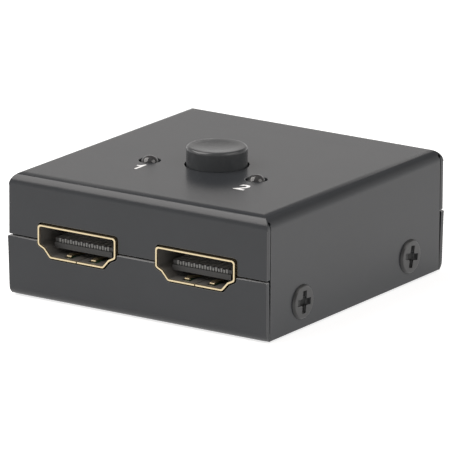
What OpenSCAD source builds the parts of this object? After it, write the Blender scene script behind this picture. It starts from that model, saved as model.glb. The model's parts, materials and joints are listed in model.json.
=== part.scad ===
// Two-way video switch box: folded metal case, three sockets, two lamps and a push button.
// Millimetres. The origin is at the middle of the underside; the two-socket face looks along -Y.

/* [Case] */
// Width across the side panels
body_w = 48; // [47:0.5:60]
// Depth from the front flanges to the rear flanges
body_d = 50; // [49:0.5:70]
// Height from the underside to the top face
body_h = 19.8; // [18.6:0.2:26]
// Thickness of the folded sheet
sheet_t = 0.8; // [0.6:0.1:1.2]
// Outer radius of the cover's folds
bend_r = 2.1; // [1.6:0.1:2.6]
// Outer radius of the tray's folds
tray_bend_r = 1.6; // [1.3:0.1:2.2]
// Height of the tray's front and rear flanges
seam_z = 9.7; // [8.6:0.1:11]
// Open seam between the tray's flanges and the cover's
seam_gap = 0.2; // [0.1:0.05:0.8]
// How far the tray's front and rear flanges lean out at the seam
flange_lean = 0.3; // [0:0.05:0.35]
// Open slit between a flange and the edge of a side panel
corner_gap = 0.15; // [0.1:0.05:0.6]
// Diameter of the round relief at each top corner
relief_d = 0.6; // [0.4:0.1:1.2]
// How far the side panels stop short of the table
side_lift = 0.25; // [0.15:0.05:0.8]
// Clearance between the tray's ears and the side panels
lap_gap = 0.15; // [0.1:0.05:0.4]
// Length of each ear that takes the side screws
ear_l = 45; // [36:1:46]
// Height of each ear
ear_h = 8; // [7.2:0.2:9]
// Corner rounding of the flanges at the seam
flange_corner_r = 0.2; // [0.1:0.1:0.8]
// Corner rounding of the tray's flanges at the table
foot_corner_r = 0.4; // [0.3:0.1:1.2]

/* [Sockets] */
// Distance between the two front sockets
port_spacing = 22; // [18:0.5:23]
// Height of the sockets' middle line
port_z = 9.8; // [9:0.1:11]
// How far the shells stand proud of the case
port_proud = 0.4; // [0.1:0.1:1]
// Outer width of a shell
shell_w = 14.6; // [14.2:0.1:15.4]
// Outer height of a shell
shell_h = 5.15; // [4.9:0.05:5.6]
// Thickness of the shell metal
shell_t = 0.3; // [0.2:0.05:0.4]
// Length of a shell
shell_l = 11.6; // [10.6:0.2:12.4]
// Height of the upright part of a shell's sides
shell_side_h = 3.3; // [3:0.1:3.5]
// Clearance between a shell and its cut-out in the case
cutout_gap = 0.2; // [0.1:0.05:0.8]
// Width of the tongue
tongue_w = 10.8; // [10:0.1:11.4]
// Thickness of the tongue
tongue_t = 1.5; // [1.2:0.1:1.8]
// How far the tongue's front stays behind the shell's mouth
tongue_set = 2.2; // [1.8:0.1:2.8]
// How far the tongue's middle lies below the socket's middle
tongue_drop = 0.5; // [0.1:0.1:0.7]
// Pitch of the contacts, counting both rows
contact_pitch = 0.5; // [0.4:0.02:0.52]
// Width of one contact
contact_w = 0.26; // [0.2:0.02:0.34]
// Thickness of one contact
contact_t = 0.14; // [0.1:0.02:0.2]

/* [Button] */
// Place of the button along the depth
button_y = -3; // [-4:0.5:-2]
// Diameter of the cap
cap_d = 9.6; // [8.6:0.1:11]
// Height of the cap above the top face
cap_proud = 3; // [2.4:0.1:5]
// Rounding of the cap's upper edge
cap_edge_r = 0.5; // [0.2:0.1:0.8]
// Depth of the dish in the cap's top
cap_dish = 0.25; // [0.1:0.05:0.4]
// Wall of the cap
cap_wall = 1.2; // [0.8:0.1:1.6]
// Radial clearance between the cap and its hole
cap_gap = 0.25; // [0.2:0.05:0.6]
// Width of the lip that keeps the cap in
lip_w = 0.6; // [0.5:0.1:0.9]
// Thickness of the lip
lip_t = 1; // [0.7:0.1:1.2]
// Room between the lip and the cover at rest
lip_gap = 0.4; // [0.3:0.05:0.6]
// Travel of the button
travel = 2; // [1:0.1:2.4]

/* [Push switch] */
// Width and depth of the switch
switch_w = 8.4; // [8.2:0.1:9]
// Thickness of the switch's walls, floor and lid
switch_wall = 0.8; // [0.6:0.1:0.9]
// Radius of the plunger's stem
stem_r = 1.9; // [1.7:0.05:2.1]
// Running clearance of the stem in the lid
stem_gap = 0.08; // [0.05:0.01:0.1]
// Wire of the return spring
spring_wire = 0.4; // [0.3:0.05:0.45]
// Mean radius of the return spring
spring_r = 1.7; // [1.6:0.05:1.8]
// Turns of the return spring
spring_turns = 3.5; // [2.5:0.5:3.5]

/* [Lamps] */
// Distance between the two lamps
lamp_spacing = 19.9; // [19:0.1:22]
// Place of the lamps along the depth
lamp_y = -6.9; // [-7.6:0.1:-6]
// Diameter of a lamp
lamp_d = 3; // [2.8:0.1:3.2]
// Height of the lamp's dome above the top face
lamp_proud = 0.75; // [0.3:0.05:1.5]
// Radial clearance between a lamp and its hole
lamp_gap = 0.25; // [0.15:0.05:0.4]
// Whole length of a lamp, dome to base
lamp_l = 5.3; // [4.6:0.1:6]

/* [Screws] */
// Distance between the two screws of one side
side_screw_spacing = 30.6; // [28:0.2:33]
// Height of the side screws above the table
side_screw_z = 4.5; // [4.2:0.1:4.9]
// Thread diameter of the side screws
side_screw_d = 3; // [2.5:0.1:3.2]
// Head diameter of the side screws
side_head_d = 5.6; // [5:0.1:6.2]
// Head height of the side screws
side_head_h = 0.45; // [0.4:0.05:0.9]
// Thread diameter of the board screws
board_screw_d = 2.5; // [2:0.1:2.6]

/* [Board] */
// Thickness of the circuit board
pcb_t = 1.6; // [1:0.1:1.8]
// Clearance between the board's long edges and the tray's ears
pcb_side_gap = 1.05; // [0.9:0.05:1.5]
// Clearance between the board's ends and the flanges
pcb_end_gap = 0.6; // [0.3:0.1:1]
// Diameter of the standoffs
standoff_d = 5; // [4.6:0.1:5.4]
// Distance of the standoffs from the board's long edges
standoff_inset = 3.2; // [2.8:0.1:4]
// Distance of the front standoffs from the board's front edge
standoff_front_inset = 15.4; // [14.8:0.1:16]
// Distance of the rear standoffs from the board's rear edge
standoff_rear_inset = 4.9; // [4:0.1:6]

/* [Hidden] */
$fn = 48;
eps = 0.01;

// Colours of the finishes
paint = "#2b2c2d";
gilt = "#c9b27a";
black = "#18181a";
steel = "#8d9094";
board_green = "#1f5a36";
copper = "#b87b4b";

// Case
half_w = body_w / 2;
half_d = body_d / 2;
inner_h = body_h - sheet_t;
inner_r = bend_r - sheet_t;
cover_flange_z = seam_z + seam_gap;
side_end_y = half_d - sheet_t - corner_gap;
slit_y = side_end_y + corner_gap / 2;
relief_z = body_h - sheet_t - relief_d / 2;
lean_a = atan(flange_lean / (seam_z - tray_bend_r));
ear_x = half_w - sheet_t - lap_gap;

// Sockets
port_y = half_d + port_proud;
shoulder_in = 1.15;
shoulder_drop = 0.55;
foot_in = 2.3;
rim_r = 0.55;
seam_split = 0.15;
block_l = 4;
finger_w = 0.9;
finger_gap = 0.3;
finger_x = 2.3;
finger_tip = 1.3;
finger_bump = 2;
finger_root = 5;
finger_rise = 0.45;
finger_dip = 0.2;
leg_y = [4.2, 9.4];
leg_w = 1.2;
leg_past = 0.9;
slot_gap = 0.2;
fit_gap = 0.03;
top_contacts = 10;
contact_fold = 0.65;
fold_short = 0.1;
nose_l = 0.3;
foot_l = 1;

// Board
pcb_top = port_z - shell_h / 2;
pcb_bottom = pcb_top - pcb_t;
pcb_half_w = ear_x - sheet_t - pcb_side_gap;
pcb_half_d = half_d - sheet_t - pcb_end_gap;
pcb_corner_r = 1.5;
standoff_x = pcb_half_w - standoff_inset;
standoff_ys = [standoff_front_inset - pcb_half_d, pcb_half_d - standoff_rear_inset];
standoff_spots = [for (sx = [-1, 1], y = standoff_ys) [sx * standoff_x, y]];
board_hole_gap = 0.15;
thread_gap = 0.03;
board_head_r = 2.25;
board_head_h = 1.4;
board_screw_l = 5;
board_cross_l = 2.9;
board_cross_w = 0.6;
board_cross_depth = 0.7;

// Button and push switch, from the cover down to the board
cap_r = cap_d / 2;
cap_hole_r = cap_r + cap_gap;
cap_top = body_h + cap_proud;
cap_roof = 1.4;
lip_top = inner_h - lip_gap;
lip_bottom = lip_top - lip_t;
lip_r = cap_hole_r + lip_w;
boss_wall = 1.1;
tip_step = 0.4;
tip_r = stem_r - tip_step;
boss_r = tip_r + boss_wall;
boss_drop = 0.8;
boss_bottom = lip_bottom - boss_drop;
tip_cover = 0.4;
tip_top = cap_top - cap_roof - cap_dish - tip_cover;
press_gap = 0.4;
switch_top = boss_bottom - travel - press_gap;
lid_bottom = switch_top - switch_wall;
well_floor = pcb_top + switch_wall;
collar_gap = 0.1;
collar_t = 1.2;
collar_r = 2.8;
collar_top = lid_bottom - collar_gap;
collar_bottom = collar_top - collar_t;
bridge_t = 0.2;
bridge_gap = 0.3;
bridge_l = switch_w - 2 * switch_wall - 2 * bridge_gap;
bridge_w = 4.2;
bridge_bottom = collar_bottom - bridge_t;
close_gap = 0.06;
post_top = bridge_bottom - travel - close_gap;
post_w = 0.7;
post_d = 1.6;
post_x = bridge_l / 2 - post_w / 2;
pin_w = 0.6;
pin_past = 1;
pin_hole_r = 0.55;
guide_gap = 0.25;
guide_r = spring_r - spring_wire / 2 - guide_gap;
guide_past = 0.3;
spring_rings = 8;
spring_sides = 6;
spring_steps = round(spring_turns * spring_rings);
spring_low = well_floor + spring_wire / 2;
spring_high = bridge_bottom - spring_wire / 2;

// Lamps
lamp_r = lamp_d / 2;
lamp_hole_r = lamp_r + lamp_gap;
lamp_top = body_h + lamp_proud;
lamp_base = lamp_top - lamp_l;
lamp_flange_w = 0.4;
lamp_flange_r = lamp_r + lamp_flange_w;
lamp_flange_t = 1;
lead_w = 0.5;
lead_spacing = 2.54;
lead_x = lead_spacing / 2;
inner_lead_x = lead_spacing / 4;
lead_past = 1;
lead_hole_r = 0.45;
lead_foot = 0.3;
lead_jog = 0.4;
cup_r = 0.55;
cup_h = 0.55;

// Side screws
side_screw_tip = 0.5;
side_screw_l = sheet_t + lap_gap + sheet_t + side_screw_tip;
side_hole_gap = 0.2;
head_slope = 0.3;
cross_l = 3.5;
cross_w = 1;
cross_depth = 0.25;
cross_core_r = 0.8;
cross_core = 0.4;
// Where each screw stopped turning: front and rear of the left side, then of the right
screw_turns = [[31, -22], [-5, -12]];

// Parts soldered on the board
array_l = 2.5;
array_w = 1;
array_t = 0.6;
array_x = 3.4;
array_gap = 0.8;
array_y = port_y - shell_l - foot_l - array_gap - array_w / 2;
chip_w = 5;
chip_t = 0.9;
chip_y = (button_y + switch_w / 2 + array_y - array_w / 2) / 2;
chip_pins = 10;
chip_pin_w = 0.2;
chip_pin_l = 0.5;
chip_pin_t = 0.15;
chip_pitch = 0.4;
capacitor_l = 1;
capacitor_w = 0.5;
capacitor_t = 0.5;
capacitor_gap = 2.6;
capacitor_x = chip_w / 2 + chip_pin_l + capacitor_gap + capacitor_l / 2;
capacitor_pitch = 1.5;
capacitor_rows = 5;
resistor_l = 1;
resistor_w = 0.5;
resistor_t = 0.35;
resistor_pitch = 1.2;
resistor_count = 4;
resistor_gap = 2;
resistor_y = lamp_y + lamp_flange_r + resistor_gap + resistor_l / 2;
regulator_l = 2.9;
regulator_w = 1.6;
regulator_t = 1.1;
regulator_gap = 3;
regulator_x = -capacitor_x - regulator_gap - regulator_l / 2;

// Place of number i in a row of count, spread evenly about 0
function in_row(i, count, pitch) = (i - (count - 1) / 2) * pitch;

// Outline helpers
function unit(v) = v / norm(v);
function outward(p, q) = let (d = unit(q - p)) [d[1], -d[0]];
function before(pts, i) = pts[(i + len(pts) - 1) % len(pts)];
function after(pts, i) = pts[(i + 1) % len(pts)];

// A closed outline, counter-clockwise, with every edge moved outwards by d
function grown(pts, d) = [for (i = [0:len(pts) - 1])
  let (n1 = outward(before(pts, i), pts[i]), n2 = outward(pts[i], after(pts, i)))
  pts[i] + d * (n1 + n2) / (1 + n1 * n2)];

function turned(v, a) = [v[0] * cos(a) - v[1] * sin(a), v[0] * sin(a) + v[1] * cos(a)];

// The arc that replaces corner c between its neighbours p and q
function corner_arc(p, c, q, r, steps) =
  let (a = unit(p - c), b = unit(q - c), half = acos(a * b) / 2)
  let (middle = c + unit(a + b) * r / sin(half), start = c + a * r / tan(half))
  let (sweep = (180 - 2 * half) * sign(cross(c - p, q - c)))
  [for (k = [0:steps]) middle + turned(start - middle, sweep * k / steps)];

// A closed outline with every corner rounded by r
function rounded(pts, r, steps = 6) = [for (i = [0:len(pts) - 1])
  each corner_arc(before(pts, i), pts[i], after(pts, i), r, steps)];

// Right half of the socket's outline from the foot up, then its mirror image
function port_side() =
  let (a = shell_w / 2, b = shell_h / 2, s = b - shell_side_h)
  [[a - foot_in, -b], [a - shoulder_in, s - shoulder_drop], [a, s], [a, b]];
function port_outline(d) =
  let (side = port_side())
  rounded(grown(concat(side, [for (i = [len(side) - 1:-1:0]) [-side[i][0], side[i][1]]]), d), rim_r + d / 2);

// Shared shapes
// A box standing on z = 0 with its two upper edges along Y rounded
module arched(w, h, r, l) {
  rotate([90, 0, 0]) linear_extrude(l, center = true) {
    translate([-w / 2, 0]) square([w, h - r]);
    translate([-w / 2 + r, 0]) square([w - 2 * r, h]);
    for (sx = [-1, 1]) translate([sx * (w / 2 - r), h - r]) circle(r);
  }
}

// A box with all four upper edges rounded, as folded sheet is
module folded_block(w, d, h, r) {
  intersection() {
    arched(w, h, r, d + 1);
    rotate([0, 0, 90]) arched(d, h, r, w + 1);
  }
}

// Outline of a trough: a floor, folds of radius r about the tray's fold centres, walls that lean out by a
module trough(w, h, r, a) {
  fold_x = w / 2 - tray_bend_r;
  translate([-fold_x, tray_bend_r - r]) square([2 * fold_x, h]);
  for (s = [-1, 1]) translate([s * fold_x, tray_bend_r]) {
    circle(r);
    rotate(-s * a) translate([-r, 0]) square([2 * r, h]);
  }
}

// A channel of sheet along Y, with its walls ending at height h
module channel(w, h, l, a = 0) {
  rotate([90, 0, 0]) linear_extrude(l, center = true) difference() {
    trough(w, h, tray_bend_r, a);
    trough(w, 2 * h, tray_bend_r - sheet_t, a);
    translate([-w, h]) square([2 * w, h]);
  }
}

// A bar through the case for each socket, in the socket's outline grown by d
module port_cuts(d, l) {
  for (p = [[-port_spacing / 2, -half_d], [port_spacing / 2, -half_d], [0, half_d]])
    translate([p[0], p[1], port_z]) rotate([90, 0, 0])
      linear_extrude(l, center = true) polygon(port_outline(d));
}

// Rounds the corners that the flanges have at height z; up = 1 for upper corners, -1 for lower ones
module flange_corners(z, up, r, reach) {
  for (sx = [-1, 1], sy = [-1, 1])
    translate([sx * (half_w - r), sy * half_d, z - up * r]) rotate([90, 0, 0])
      linear_extrude(2 * reach, center = true) difference() {
        translate([sx > 0 ? 0 : -r - eps, up > 0 ? 0 : -r - eps]) square(r + eps);
        circle(r);
      }
}

// Places children at each side screw, with +Z pointing out of the case
module at_side_screws() {
  for (sx = [-1, 1], sy = [-1, 1])
    translate([sx * half_w, sy * side_screw_spacing / 2, side_screw_z])
      rotate([0, sx * 90, 0]) rotate([0, 0, screw_turns[(sx + 1) / 2][(sy + 1) / 2]]) children();
}

// Places a socket's own frame: x across, y inwards from the mouth, z up from its middle
module at_port(x, turn) {
  rotate([0, 0, turn]) translate([x, -port_y, port_z]) children();
}

module at_lamp(sx) {
  translate([sx * lamp_spacing / 2, lamp_y, 0]) children();
}

// Case
module cover() {
  color(paint) difference() {
    folded_block(body_w, body_d, body_h, bend_r);
    translate([0, 0, -sheet_t])
      folded_block(body_w - 2 * sheet_t, body_d - 2 * sheet_t, body_h, inner_r);
    translate([-body_w, -body_d, -eps]) cube([2 * body_w, 2 * body_d, side_lift + eps]);
    for (sy = [-1, 1])
      translate([0, sy * (side_end_y + body_d / 2), 0])
        cube([2 * body_w, body_d, 2 * cover_flange_z], center = true);
    for (sx = [-1, 1], sy = [-1, 1]) {
      translate([sx * half_w, sy * slit_y, relief_z / 2])
        cube([3 * sheet_t, corner_gap, relief_z], center = true);
      translate([sx * half_w, sy * slit_y, relief_z]) rotate([0, 90, 0])
        cylinder(d = relief_d, h = 3 * sheet_t, center = true);
    }
    flange_corners(cover_flange_z, -1, flange_corner_r, half_d - slit_y);
    port_cuts(cutout_gap, 3 * sheet_t);
    translate([0, button_y, inner_h - sheet_t]) cylinder(r = cap_hole_r, h = 3 * sheet_t);
    for (sx = [-1, 1]) at_lamp(sx) translate([0, 0, inner_h - sheet_t])
      cylinder(r = lamp_hole_r, h = 3 * sheet_t);
    at_side_screws() cylinder(r = side_screw_d / 2 + side_hole_gap, h = 3 * sheet_t, center = true);
  }
}

module tray() {
  floor_w = 2 * (ear_x - tray_bend_r);
  floor_l = body_d - 2 * tray_bend_r;
  color(paint) difference() {
    union() {
      difference() {
        rotate([0, 0, 90]) channel(body_d, seam_z, body_w, lean_a);
        for (sx = [-1, 1]) {
          translate([sx * (floor_w + body_w) / 2, 0, 0])
            cube([body_w, floor_l, 2 * tray_bend_r], center = true);
          translate([sx * half_w, 0, 0])
            cube([2 * (sheet_t + corner_gap), 2 * slit_y, 2 * tray_bend_r], center = true);
        }
        flange_corners(seam_z, 1, flange_corner_r, tray_bend_r);
        flange_corners(0, -1, foot_corner_r, tray_bend_r);
      }
      channel(2 * ear_x, ear_h, ear_l);
    }
    port_cuts(cutout_gap, 6 * sheet_t);
    at_side_screws() cylinder(r = side_screw_d / 2 + thread_gap, h = 3 * side_screw_l, center = true);
  }
}

module side_screws() {
  color(black) at_side_screws() difference() {
    union() {
      rotate_extrude() polygon([[0, 0], [side_head_d / 2, 0],
        [side_head_d / 2 - head_slope, side_head_h], [0, side_head_h]]);
      translate([0, 0, -side_screw_l]) cylinder(d = side_screw_d, h = side_screw_l + eps);
    }
    for (a = [0, 90]) rotate([0, 0, a]) translate([0, 0, side_head_h])
      cube([cross_l, cross_w, 2 * cross_depth], center = true);
    translate([0, 0, side_head_h - cross_core]) cylinder(r = cross_core_r, h = cross_core + eps);
  }
}

// Board and what holds it
module standoffs() {
  color(steel) for (p = standoff_spots) translate([p[0], p[1], sheet_t]) difference() {
    cylinder(d = standoff_d, h = pcb_bottom - sheet_t);
    translate([0, 0, -eps]) cylinder(r = board_screw_d / 2 + thread_gap, h = pcb_bottom);
  }
}

module pcb() {
  color(board_green) difference() {
    translate([0, 0, pcb_bottom]) linear_extrude(pcb_t)
      polygon(rounded([[-pcb_half_w, -pcb_half_d], [pcb_half_w, -pcb_half_d],
        [pcb_half_w, pcb_half_d], [-pcb_half_w, pcb_half_d]], pcb_corner_r));
    translate([0, 0, pcb_bottom - eps]) {
      for (p = standoff_spots) translate(p) cylinder(r = board_screw_d / 2 + board_hole_gap, h = 2 * pcb_t);
      for (sx = [-1, 1], end = [-1, 1])
        translate([sx * lamp_spacing / 2 + end * lead_x, lamp_y]) cylinder(r = lead_hole_r, h = 2 * pcb_t);
      for (sx = [-1, 1]) translate([sx * post_x, button_y]) cylinder(r = pin_hole_r, h = 2 * pcb_t);
    }
    at_port(-port_spacing / 2, 0) shell_legs(slot_gap);
    at_port(port_spacing / 2, 0) shell_legs(slot_gap);
    at_port(0, 180) shell_legs(slot_gap);
  }
}

module pcb_screws() {
  color(steel) for (p = standoff_spots) translate([p[0], p[1], pcb_top]) difference() {
    union() {
      cylinder(r = board_head_r, h = board_head_h);
      translate([0, 0, -board_screw_l]) cylinder(d = board_screw_d, h = board_screw_l + eps);
    }
    for (a = [0, 90]) rotate([0, 0, a]) translate([0, 0, board_head_h])
      cube([board_cross_l, board_cross_w, 2 * board_cross_depth], center = true);
  }
}

// Sockets
module shell_legs(gap) {
  bottom = shell_h / 2 + pcb_t + leg_past;
  top = shell_h / 2 - shell_side_h + rim_r;
  for (sx = [-1, 1], y = leg_y)
    translate([sx * (shell_w - shell_t) / 2, y, (top - bottom) / 2])
      cube([shell_t + 2 * gap, leg_w + 2 * gap, top + bottom], center = true);
}

// Spring finger in the floor of a shell, bent up into the socket
module shell_finger() {
  floor_z = -shell_h / 2;
  bump = floor_z + finger_rise;
  tip = bump - finger_dip;
  rotate([90, 0, 90]) linear_extrude(finger_w, center = true)
    polygon([[finger_root + eps, floor_z], [finger_root + eps, floor_z + shell_t],
      [finger_bump, bump + shell_t], [finger_tip, tip + shell_t], [finger_tip, tip], [finger_bump, bump]]);
}

module shell() {
  window_w = finger_w + 2 * finger_gap;
  window_l = finger_root - finger_tip + finger_gap;
  color(gilt) {
    difference() {
      rotate([-90, 0, 0]) mirror([0, 1, 0]) linear_extrude(shell_l) difference() {
        polygon(port_outline(0));
        polygon(port_outline(-shell_t));
      }
      translate([-seam_split / 2, -eps, -shell_h]) cube([seam_split, shell_l + 1, shell_h]);
      for (sx = [-1, 1])
        translate([sx * finger_x - window_w / 2, finger_root - window_l, -shell_h / 2 - eps])
          cube([window_w, window_l, shell_t + 2 * eps]);
    }
    for (sx = [-1, 1]) translate([sx * finger_x, 0, 0]) shell_finger();
    shell_legs(0);
  }
}

// One contact: blade along the tongue, tip folded over its front, drop behind the block, foot on the board
module contact(blade_z, tip_drop) {
  top = blade_z + contact_t / 2;
  translate([-contact_w / 2, 0, 0]) {
    translate([0, tongue_set - contact_t / 2, blade_z - contact_t / 2])
      cube([contact_w, shell_l + contact_t - tongue_set + contact_t / 2, contact_t]);
    translate([0, tongue_set - contact_t / 2, min(blade_z - tip_drop, blade_z)])
      cube([contact_w, contact_t, abs(tip_drop)]);
    translate([0, shell_l, -shell_h / 2]) cube([contact_w, contact_t, top + shell_h / 2]);
    translate([0, shell_l, -shell_h / 2]) cube([contact_w, foot_l, contact_t]);
  }
}

// Upper row, and a lower row of one contact fewer that lies between
module contacts() {
  color(gilt) {
    for (i = [0:top_contacts - 1]) translate([in_row(i, top_contacts, 2 * contact_pitch), 0, 0])
      contact(-tongue_drop + tongue_t / 2, contact_fold);
    for (i = [0:top_contacts - 2]) translate([in_row(i, top_contacts - 1, 2 * contact_pitch), 0, 0])
      contact(-tongue_drop - tongue_t / 2, fold_short - tongue_t);
  }
}

// Plastic block that fills the inner end of a shell
module block() {
  color(black) difference() {
    translate([0, shell_l - block_l, 0]) rotate([-90, 0, 0]) mirror([0, 1, 0])
      linear_extrude(block_l) polygon(port_outline(-shell_t - fit_gap));
    contacts();
  }
}

// Plastic tongue that carries the contacts towards the mouth, with a nose over the lower tips
module tongue() {
  color(black) difference() {
    translate([-tongue_w / 2, tongue_set, -tongue_drop - tongue_t / 2]) {
      cube([tongue_w, shell_l - block_l - tongue_set, tongue_t]);
      translate([0, -nose_l, 0]) cube([tongue_w, 2 * nose_l, tongue_t - contact_fold]);
    }
    contacts();
  }
}

module input_1_shell() at_port(-port_spacing / 2, 0) shell();
module input_1_block() at_port(-port_spacing / 2, 0) block();
module input_1_tongue() at_port(-port_spacing / 2, 0) tongue();
module input_1_contacts() at_port(-port_spacing / 2, 0) contacts();
module input_2_shell() at_port(port_spacing / 2, 0) shell();
module input_2_block() at_port(port_spacing / 2, 0) block();
module input_2_tongue() at_port(port_spacing / 2, 0) tongue();
module input_2_contacts() at_port(port_spacing / 2, 0) contacts();
module output_shell() at_port(0, 180) shell();
module output_block() at_port(0, 180) block();
module output_tongue() at_port(0, 180) tongue();
module output_contacts() at_port(0, 180) contacts();

// Button and push switch
module button_cap() {
  dish_chord = cap_r - cap_edge_r;
  dish_r = (dish_chord * dish_chord + cap_dish * cap_dish) / (2 * cap_dish);
  inner_r_cap = cap_r - cap_wall;
  roof = cap_top - cap_roof - cap_dish;
  color(black) translate([0, button_y, 0]) difference() {
    union() {
      translate([0, 0, lip_bottom]) cylinder(r = cap_r, h = cap_top - cap_edge_r - lip_bottom);
      translate([0, 0, cap_top - cap_edge_r - eps]) cylinder(r = cap_r - cap_edge_r, h = cap_edge_r + eps);
      translate([0, 0, cap_top - cap_edge_r]) rotate_extrude()
        translate([cap_r - cap_edge_r, 0]) circle(cap_edge_r);
      translate([0, 0, lip_bottom]) cylinder(r = lip_r, h = lip_t);
      translate([0, 0, boss_bottom]) cylinder(r = boss_r, h = cap_top - cap_roof - boss_bottom);
    }
    translate([0, 0, lip_bottom - eps]) difference() {
      cylinder(r = inner_r_cap, h = roof - lip_bottom + eps);
      cylinder(r = boss_r, h = roof - lip_bottom + 1);
    }
    translate([0, 0, boss_bottom - eps]) cylinder(r = tip_r + fit_gap, h = tip_top - boss_bottom + eps);
    translate([0, 0, cap_top + dish_r - cap_dish]) sphere(dish_r, $fn = 128);
  }
}

module switch_plunger() {
  color("white") translate([0, button_y, 0]) {
    translate([0, 0, collar_bottom]) cylinder(r = collar_r, h = collar_t);
    translate([0, 0, collar_bottom]) cylinder(r = stem_r, h = boss_bottom - collar_bottom);
    translate([0, 0, collar_bottom]) cylinder(r = tip_r, h = tip_top - collar_bottom - fit_gap);
    translate([0, 0, well_floor + travel + guide_past])
      cylinder(r = guide_r, h = collar_bottom - well_floor - travel - guide_past + eps);
  }
}

module switch_bridge() {
  color(copper) translate([0, button_y, bridge_bottom]) difference() {
    translate([0, 0, bridge_t / 2]) cube([bridge_l, bridge_w, bridge_t], center = true);
    translate([0, 0, -eps]) cylinder(r = guide_r + fit_gap, h = 2 * bridge_t);
  }
}

// Return spring: one round wire swept along a helix between the well's floor and the bridge
function spring_ring(k) =
  let (a = 360 * k / spring_rings, z = spring_low + (spring_high - spring_low) * k / spring_steps)
  [for (s = [0:spring_sides - 1]) let (b = 360 * s / spring_sides, r = spring_r + spring_wire / 2 * cos(b))
    [r * cos(a), r * sin(a), z + spring_wire / 2 * sin(b)]];

module switch_spring() {
  points = [for (k = [0:spring_steps]) each spring_ring(k)];
  last = spring_steps * spring_sides;
  sides = [for (k = [0:spring_steps - 1], s = [0:spring_sides - 1])
    let (a = k * spring_sides, t = (s + 1) % spring_sides, b = a + spring_sides)
    each [[a + s, a + t, b + t], [a + s, b + t, b + s]]];
  near_end = [for (s = [1:spring_sides - 2]) [0, s + 1, s]];
  far_end = [for (s = [1:spring_sides - 2]) [last, last + s, last + s + 1]];
  color(steel) translate([0, button_y, 0]) polyhedron(points, concat(sides, near_end, far_end));
}

module switch_lid() {
  color(steel) translate([0, button_y, lid_bottom]) difference() {
    translate([0, 0, switch_wall / 2]) cube([switch_w, switch_w, switch_wall], center = true);
    translate([0, 0, -eps]) cylinder(r = stem_r + stem_gap, h = 2 * switch_wall);
  }
}

module switch_base() {
  well = switch_w - 2 * switch_wall;
  color(black) difference() {
    translate([-switch_w / 2, button_y - switch_w / 2, pcb_top])
      cube([switch_w, switch_w, lid_bottom - pcb_top]);
    translate([-well / 2, button_y - well / 2, well_floor]) cube([well, well, lid_bottom]);
    switch_terminals();
  }
}

module switch_terminals() {
  color(copper) for (sx = [-1, 1]) translate([sx * post_x, button_y, 0]) {
    translate([-post_w / 2, -post_d / 2, pcb_top]) cube([post_w, post_d, post_top - pcb_top]);
    translate([-pin_w / 2, -pin_w / 2, pcb_bottom - pin_past]) cube([pin_w, pin_w, pcb_t + pin_past + eps]);
  }
}

// Lamps
module lamp_leads() {
  jog_z = lamp_base + lead_foot;
  post_end = lamp_top - lamp_r - cup_h;
  color(steel) {
    for (end = [-1, 1]) {
      translate([end * lead_x - lead_w / 2, -lead_w / 2, pcb_bottom - lead_past])
        cube([lead_w, lead_w, jog_z + lead_jog - pcb_bottom + lead_past]);
      translate([end * (lead_x + inner_lead_x) / 2, 0, jog_z + lead_jog / 2])
        cube([lead_x - inner_lead_x + lead_w, lead_w, lead_jog], center = true);
      translate([end * inner_lead_x - lead_w / 2, -lead_w / 2, jog_z])
        cube([lead_w, lead_w, post_end - jog_z]);
    }
    translate([-inner_lead_x, 0, post_end - cup_h]) cylinder(r = cup_r, h = cup_h);
  }
}

module lamp() {
  color([0.75, 0.78, 0.8, 0.6]) difference() {
    union() {
      translate([0, 0, lamp_base]) cylinder(r = lamp_flange_r, h = lamp_flange_t);
      translate([0, 0, lamp_base]) cylinder(r = lamp_r, h = lamp_l - lamp_r);
      translate([0, 0, lamp_top - lamp_r]) sphere(lamp_r);
    }
    lamp_leads();
  }
}

module lamp_spacer() {
  color("ivory") difference() {
    translate([0, 0, pcb_top]) cylinder(r = lamp_flange_r, h = lamp_base - pcb_top);
    for (end = [-1, 1]) translate([end * lead_x, 0, 0]) cylinder(r = lead_hole_r, h = body_h);
  }
}

module led_1_lamp() at_lamp(-1) lamp();
module led_1_leads() at_lamp(-1) lamp_leads();
module led_1_spacer() at_lamp(-1) lamp_spacer();
module led_2_lamp() at_lamp(1) lamp();
module led_2_leads() at_lamp(1) lamp_leads();
module led_2_spacer() at_lamp(1) lamp_spacer();

// Parts soldered on the board
// A block soldered flat on the board, its middle at x, y
module on_board(x, y, size, lift = 0) {
  translate([x - size[0] / 2, y - size[1] / 2, pcb_top + lift]) cube(size);
}

module switch_chip() {
  color(black) on_board(0, chip_y, [chip_w, chip_w, chip_t], chip_pin_t);
}

module switch_chip_leads() {
  color(steel) translate([0, chip_y, 0]) for (a = [0:90:270], i = [0:chip_pins - 1]) rotate([0, 0, a])
    on_board(in_row(i, chip_pins, chip_pitch), chip_w / 2, [chip_pin_w, 2 * chip_pin_l, chip_pin_t]);
}

module protection_arrays() {
  color(black) for (p = [[-port_spacing / 2, -1], [port_spacing / 2, -1], [0, 1]], sx = [-1, 1])
    on_board(p[0] + sx * array_x, p[1] * array_y, [array_l, array_w, array_t]);
}

module capacitors() {
  color("tan") for (sx = [-1, 1], i = [0:capacitor_rows - 1])
    on_board(sx * capacitor_x, chip_y + in_row(i, capacitor_rows, capacitor_pitch),
      [capacitor_l, capacitor_w, capacitor_t]);
}

module resistors() {
  color("dimgray") for (sx = [-1, 1], i = [0:resistor_count - 1])
    on_board(sx * lamp_spacing / 2 + in_row(i, resistor_count, resistor_pitch), resistor_y,
      [resistor_w, resistor_l, resistor_t]);
}

module regulator() {
  color(black) on_board(regulator_x, chip_y, [regulator_l, regulator_w, regulator_t]);
}

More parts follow.
